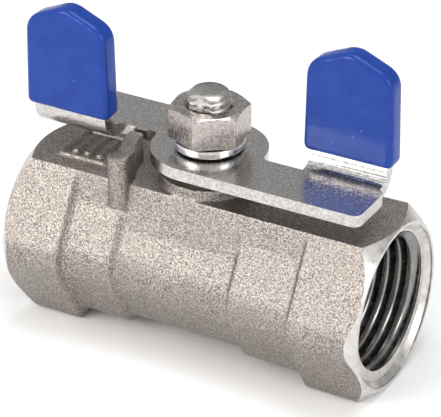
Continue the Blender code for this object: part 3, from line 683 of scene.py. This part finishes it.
# ---- pieces inside ----------------------------------------------------------------------------------
def make_retainer(material):
    inner, outer = RETAINER_LOW.x - STEM_X, RETAINER_HIGH.x - STEM_X
    radius, spigot, bore = 8.8 * MM, 8.05 * MM, 4.7 * MM
    profile = [(radius - 0.5 * MM, outer), (radius, outer - 0.5 * MM), (radius, inner + 1.4 * MM),
               (spigot, inner + 1.4 * MM), (spigot, inner), (bore, inner), (bore, outer)]
    retainer = turned("retainer_ring", profile, material, closed=True)
    combine(retainer, hexagon("key", 10 * MM, outer - 2.6 * MM, outer + 1 * MM, material), 'DIFFERENCE')
    bevel(retainer, 0.12 * MM)
    smooth(along_pipe(retainer))
    return place(retainer, "valve_body", "seat_retainer", "turned_steel")


def make_ball(material):
    bm = bmesh.new()
    bmesh.ops.create_uvsphere(bm, u_segments=128, v_segments=64, radius=BALL_RADIUS)
    ball = from_bmesh("ball_polished", bm, material)
    end, port = BALL_RADIUS + 1 * MM, 4.6 * MM
    bore = turned("port", [(0, end), (port, end), (port, -end), (0, -end)], material)
    combine(ball, along_pipe(bore), 'DIFFERENCE')
    combine(ball, block("slot", (-1.8 * MM, -end, 5.6 * MM), (1.8 * MM, end, end), material), 'DIFFERENCE')
    smooth(ball)
    return place(ball, "ball_group", "ball", "ball_steel")


def make_gland(material):
    bottom, top = GLAND_LOW.z - AXIS_Z, GLAND_HIGH.z - AXIS_Z
    outer, bore, edge = GLAND_HIGH.x - STEM_X, 3.3 * MM, 0.3 * MM
    profile = [(outer - edge, top), (outer, top - edge), (outer, bottom), (bore, bottom), (bore, top)]
    gland = smooth(turned("gland_ring", profile, material, closed=True))
    return place(gland, "valve_body", "packing_gland", "gland_steel")


# ---- stem, washer and nut ---------------------------------------------------------------------------
def make_stem(turned_steel, thread_steel):
    bottom = STEM_LOW.z - AXIS_Z
    collar_radius, tang_half = 4.4 * MM, 3.3 * MM
    collar_bottom = BALL_RADIUS + 0.3 * MM
    collar_top = collar_bottom + 0.65 * MM
    shoulder = PLATE_BOTTOM - 0.3 * MM
    profile = [(0, shoulder), (STEM_RADIUS, shoulder), (STEM_RADIUS, collar_top),
               (collar_radius, collar_top),
               (collar_radius, collar_bottom), (tang_half, collar_bottom), (tang_half, bottom), (0, bottom)]
    stem = turned("stem_threaded", profile, turned_steel, sides=96)
    rod = threaded_rod("rod", STEM_THREAD, shoulder - 0.5 * MM, STEM_TOP, thread_steel, sides=72)
    combine(stem, rod, 'UNION')
    tip = [(0, STEM_TOP), (2.35 * MM, STEM_TOP), (4.4 * MM, STEM_TOP - 1.5 * MM), (5 * MM, shoulder),
           (5 * MM, bottom), (0, bottom)]
    combine(stem, turned("tip", tip, turned_steel, sides=72), 'INTERSECT')
    wide = 6 * MM
    for side in (-1, 1):
        near, far = sorted((side * STEM_FLAT_HALF, side * wide))
        combine(stem, block("flat", (-wide, near, shoulder - 0.3 * MM), (wide, far, STEM_TOP + 1 * MM),
                            turned_steel), 'DIFFERENCE')
        near, far = sorted((side * 1.5 * MM, side * wide))
        combine(stem, block("tang", (near, -wide, bottom - 1 * MM), (far, wide, collar_bottom),
                            turned_steel), 'DIFFERENCE')
    smooth(stem, 40)
    return place(stem, "handle_group", "stem", "turned_steel")


def make_washer(material):
    """Split spring washer: a square section with round corners, swept round to a slightly lifted end."""
    bottom, top = WASHER_LOW.z - AXIS_Z, WASHER_HIGH.z - AXIS_Z
    inner, lift, corner = 3.3 * MM, 0.12 * MM, 0.38 * MM
    half_split = WASHER_SPLIT / 2 / WASHER_RADIUS
    section = []
    for centre, start in (((WASHER_RADIUS - corner, top - lift - corner), 0.0),
                          ((inner + 0.1 * MM, top - lift - 0.1 * MM), math.pi / 2),
                          ((inner + 0.1 * MM, bottom + 0.1 * MM), math.pi),
                          ((WASHER_RADIUS - corner, bottom + corner), 1.5 * math.pi)):
        radius = corner if centre[0] > inner + 0.2 * MM else 0.1 * MM
        section += arc(centre, radius, start, start + math.pi / 2, 6)
    steps = 140
    bm = bmesh.new()
    rings = []
    for i in range(steps + 1):
        angle = math.pi / 2 + half_split + (math.tau - 2 * half_split) * i / steps
        rise = lift * i / steps
        rings.append([bm.verts.new((p.x * math.cos(angle), p.x * math.sin(angle), p.y + rise))
                      for p in section])
    for ring, following in zip(rings, rings[1:]):
        for i in range(len(ring)):
            j = (i + 1) % len(ring)
            bm.faces.new((ring[i], ring[j], following[j], following[i]))
    bm.faces.new(rings[0])
    bm.faces.new(rings[-1])
    washer = smooth(from_bmesh("lock_washer_split", bm, material))
    return place(washer, "handle_group", "lock_washer", "washer_steel")


def make_nut(material, thread_steel):
    bottom, top = NUT_LOW.z - AXIS_Z, NUT_HIGH.z - AXIS_Z
    nut = hexagon("nut_hex", NUT_FLATS, bottom, top, material, NUT_ANGLE)
    bevel(nut, 0.18 * MM, 3)
    corner = NUT_FLATS / 2 / math.cos(math.radians(30)) + 1 * MM
    crown = NUT_FLATS / 2 - 0.15 * MM
    drop = (corner - crown) * math.tan(math.radians(30))
    envelope = [(0, top), (crown, top), (corner, top - drop), (corner, bottom + drop / 2),
                (crown + 0.5 * MM, bottom), (0, bottom)]
    combine(nut, turned("envelope", envelope, material, sides=160), 'INTERSECT')
    sink = NUT_THREAD["major"] + 0.4 * MM
    bore = [(0, top + 1 * MM), (sink, top + 1 * MM), (sink, top), (NUT_THREAD["major"], top - 0.45 * MM),
            (NUT_THREAD["major"], bottom - 1 * MM), (0, bottom - 1 * MM)]
    combine(nut, turned("bore", bore, thread_steel, sides=96), 'DIFFERENCE')
    smooth(nut, 24, flat_planes=True)
    return place(nut, "handle_group", "stem_nut", "nut_steel")


# ---- handle and grips -------------------------------------------------------------------------------
def arm_outline():
    hub, corner = HUB_RADIUS, ARM_CORNER_ROUND
    notch = Vector((math.sqrt((hub + NOTCH_ROUND) ** 2 - NOTCH_ROUND ** 2), NOTCH_ROUND))
    hub_angle = math.atan2(notch.y, notch.x)
    outline = [Vector((0.0, -hub))]
    outline += arc((HANDLE_REACH - corner, corner - hub), corner, -math.pi / 2, 0.0, 8)
    outline += arc((HANDLE_REACH - corner, -corner), corner, 0.0, math.pi / 2, 8)
    outline += arc(notch, NOTCH_ROUND, -math.pi / 2, -math.pi + hub_angle, 10)
    outline += arc((0, 0), hub, hub_angle, math.pi / 2, 40)[1:-1]
    return outline


def stem_hole():
    radius, flat = STEM_RADIUS + 0.3 * MM, STEM_FLAT_HALF + 0.3 * MM
    half_angle = math.asin(flat / radius)
    return (arc((0, 0), radius, -half_angle, half_angle, 12)
            + arc((0, 0), radius, math.pi - half_angle, math.pi + half_angle, 12))


def tab_section():
    """The bend and the upright of a wing, as (y, z) points above the plate's underside."""
    inner, outer = BEND_INNER_RADIUS, BEND_INNER_RADIUS + PLATE_THICKNESS
    centre = (BEND_START, outer)
    top = TAB_TOP - PLATE_BOTTOM
    under = arc(centre, outer, -math.pi / 2, 0.0, 24)
    over = arc(centre, inner, 0.0, -math.pi / 2, 24)
    ends = [Vector((BEND_START + outer, top)), Vector((BEND_START + inner, top))]
    return [Vector((-2 * MM, 0.0))] + under + ends + over + [Vector((-2 * MM, PLATE_THICKNESS))]


def gable(inner_x, outer_x, bottom, shoulder, top, lean, corner=0.0):
    """Upright outline with leaning sides and a low gable, its corners rounded, as (x, z) points."""
    middle = (inner_x + outer_x) / 2
    points = [Vector((inner_x, bottom)), Vector((outer_x, bottom)), Vector((outer_x - lean, shoulder)),
              Vector((middle, top)), Vector((inner_x + lean, shoulder))]
    if corner == 0.0:
        return points
    rounded = []
    for i, point in enumerate(points):
        before = (points[i - 1] - point).normalized()
        after = (points[(i + 1) % len(points)] - point).normalized()
        size = corner * (0.55, 0.55, 1.0, 0.7, 1.0)[i]
        start, end = point + before * size, point + after * size
        for step in range(9):
            t = step / 8
            rounded.append(start * (1 - t) ** 2 + point * 2 * t * (1 - t) + end * t * t)
    return rounded


def make_handle(material):
    half = arm_outline()
    outline = half + [-p for p in half]
    handle = slab("handle_plate", outline, [stem_hole()], PLATE_BOTTOM, PLATE_TOP, material)
    width = TAB_OUTER_X - TAB_INNER_X
    limit = gable(TAB_INNER_X, TAB_OUTER_X, PLATE_BOTTOM - 1 * MM, TAB_TOP - TAB_SHOULDER_DROP,
                  TAB_TOP, SIDE_LEAN)
    for turn in (0.0, math.pi):
        about = Matrix.Rotation(turn, 4, 'Z')
        tab = slab("tab", tab_section(), [], -width / 2, width / 2, material)
        tab.data.transform(about @ Matrix.Translation(((TAB_INNER_X + TAB_OUTER_X) / 2, 0, PLATE_BOTTOM))
                           @ Matrix(((0, 0, 1, 0), (1, 0, 0, 0), (0, 1, 0, 0), (0, 0, 0, 1))))
        trim = slab("trim", limit, [], -8 * MM, 8 * MM, material)
        trim.data.transform(about @ Matrix.Rotation(math.radians(90), 4, 'X'))
        combine(tab, trim, 'INTERSECT')
        combine(handle, tab, 'UNION')
    bm = bmesh.new()
    bm.from_mesh(handle.data)
    bmesh.ops.dissolve_limit(bm, angle_limit=math.radians(0.5), verts=bm.verts, edges=bm.edges)
    bm.to_mesh(handle.data)
    bm.free()
    bevel(handle, EDGE_BREAK, 3)
    smooth(handle, 30, flat_planes=True)
    return place(handle, "handle_group", "handle", "stamped_steel")


def make_grip(name, node, turn, material):
    """Sleeve with flat faces and soft, round edges."""
    low, high = GRIP_LOW - ORIGIN, GRIP_HIGH - ORIGIN
    thickness = high.y - low.y
    middle = (high.y + low.y) / 2
    outline = gable(TAB_INNER_X - GRIP_SIDE, TAB_OUTER_X + GRIP_SIDE, low.z, high.z - GRIP_SHOULDER_DROP,
                    high.z + 0.2 * MM, SIDE_LEAN, 2.1 * MM)
    grip = slab(name, outline, [], -thickness / 2, thickness / 2, material)
    bevel(grip, 1.15 * MM, 6, 40)
    about = Matrix.Rotation(turn, 4, 'Z')
    upright = Matrix.Rotation(math.radians(90), 4, 'X')
    grip.data.transform(about @ Matrix.Translation((0, middle, 0)) @ upright)
    pocket = block("pocket", (TAB_INNER_X - 0.3 * MM, middle - 1.15 * MM, low.z - 1 * MM),
                   (TAB_OUTER_X + 0.3 * MM, middle + 1.15 * MM, low.z + 1.5 * MM), material)
    pocket.data.transform(about)
    combine(grip, pocket, 'DIFFERENCE')
    smooth(grip, 40)
    return place(grip, "handle_group", node, "vinyl")


# ---- studio -----------------------------------------------------------------------------------------
def make_camera():
    camera = bpy.data.objects.new("camera", bpy.data.cameras.new("camera"))
    bpy.context.scene.collection.objects.link(camera)
    camera.data.lens = CAMERA_LENS
    camera.data.sensor_width = 36.0
    camera.data.sensor_fit = 'HORIZONTAL'
    camera.data.clip_start = 0.001
    a, e = CAMERA_AZIMUTH, CAMERA_ELEVATION
    back = Vector((math.sin(a) * math.cos(e), -math.cos(a) * math.cos(e), math.sin(e)))
    right = Vector((math.cos(a), math.sin(a), 0))
    matrix = Matrix((right, back.cross(right), back)).transposed().to_4x4()
    matrix.translation = CAMERA_TARGET + back * CAMERA_DISTANCE
    camera.matrix_world = matrix
    bpy.context.scene.camera = camera


def area_light(name, direction, distance, size, power, colour=(1.0, 1.0, 1.0)):
    light = bpy.data.lights.new(name, 'AREA')
    light.shape = 'RECTANGLE'
    light.size, light.size_y = size
    light.energy = power
    light.color = colour
    obj = bpy.data.objects.new(name, light)
    bpy.context.scene.collection.objects.link(obj)
    obj.location = CAMERA_TARGET + Vector(direction).normalized() * distance
    obj.rotation_euler = (-Vector(direction)).to_track_quat('-Z', 'Y').to_euler()
    return obj


def make_studio():
    bm = bmesh.new()
    bmesh.ops.create_grid(bm, x_segments=1, y_segments=1, size=1.5)
    floor = from_bmesh("floor", bm, floor_material())
    world = bpy.data.worlds.new("studio")
    world.use_nodes = True
    tree = world.node_tree
    background = tree.nodes["Background"]
    background.inputs["Color"].default_value = (1.0, 1.0, 1.0, 1.0)
    direction = tree.nodes.new("ShaderNodeTexCoord")
    split = tree.nodes.new("ShaderNodeSeparateXYZ")
    fall = tree.nodes.new("ShaderNodeMapRange")
    for key, number in (("From Min", -0.3), ("From Max", 0.8), ("To Min", 0.95), ("To Max", 0.38)):
        fall.inputs[key].default_value = number
    tree.links.new(direction.outputs["Generated"], split.inputs["Vector"])
    tree.links.new(split.outputs["Y"], fall.inputs["Value"])
    tree.links.new(fall.outputs["Result"], background.inputs["Strength"])
    bpy.context.scene.world = world
    bpy.context.scene.view_settings.view_transform = 'Standard'
    area_light("key", (-0.45, -0.82, 0.44), 0.55, (0.30, 0.22), 1.3, (1.0, 0.965, 0.92))
    area_light("top", (0.1, 0.1, 1.0), 0.6, (0.35, 0.35), 1.4)
    area_light("right", (1.0, -0.25, 0.5), 0.6, (0.22, 0.3), 0.8)


# ---- the whole valve --------------------------------------------------------------------------------
def main():
    make_camera()
    make_studio()

    cast = cast_steel_material()
    machined = machined_steel_material("machined_steel_faces", 'X', (0.74, 0.72, 0.70), 0.3)
    # The threads inside the sockets get a darker copy of the machined steel: painted shade for the deep
    # holes.
    pipe_thread_painted_shade = machined_steel_material("machined_steel_threads_painted_shade", 'X', (0.33, 0.32, 0.31), 0.2)
    turned_steel = machined_steel_material("turned_steel_stem", 'Z', (0.60, 0.58, 0.56), 0.3)
    seal = seal_material()
    vinyl = vinyl_material()
    nut_steel = nut_steel_material()

    make_body(cast, machined, pipe_thread_painted_shade)
    make_retainer(machined)
    make_ball(polished_steel_material("ball_steel_polished", 0.1))
    make_gland(machined_steel_material("gland_steel_turned", 'Z', (0.50, 0.48, 0.46), 0.38))
    make_stem(turned_steel, turned_steel)
    make_washer(polished_steel_material("washer_steel_spring", 0.22))
    make_nut(nut_steel, turned_steel)
    make_handle(stamped_steel_material())
    make_grip("grip_sleeve_right", "grip_right", 0.0, vinyl)
    make_grip("grip_sleeve_left", "grip_left", math.pi, vinyl)

    for node in ("seat_outlet", "seat_inlet", "packing_lower", "packing_middle", "packing_upper",
                 "stem_thrust_washer", "retainer_gasket"):
        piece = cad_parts[node]
        piece.data.materials.clear()
        piece.data.materials.append(seal)


main()
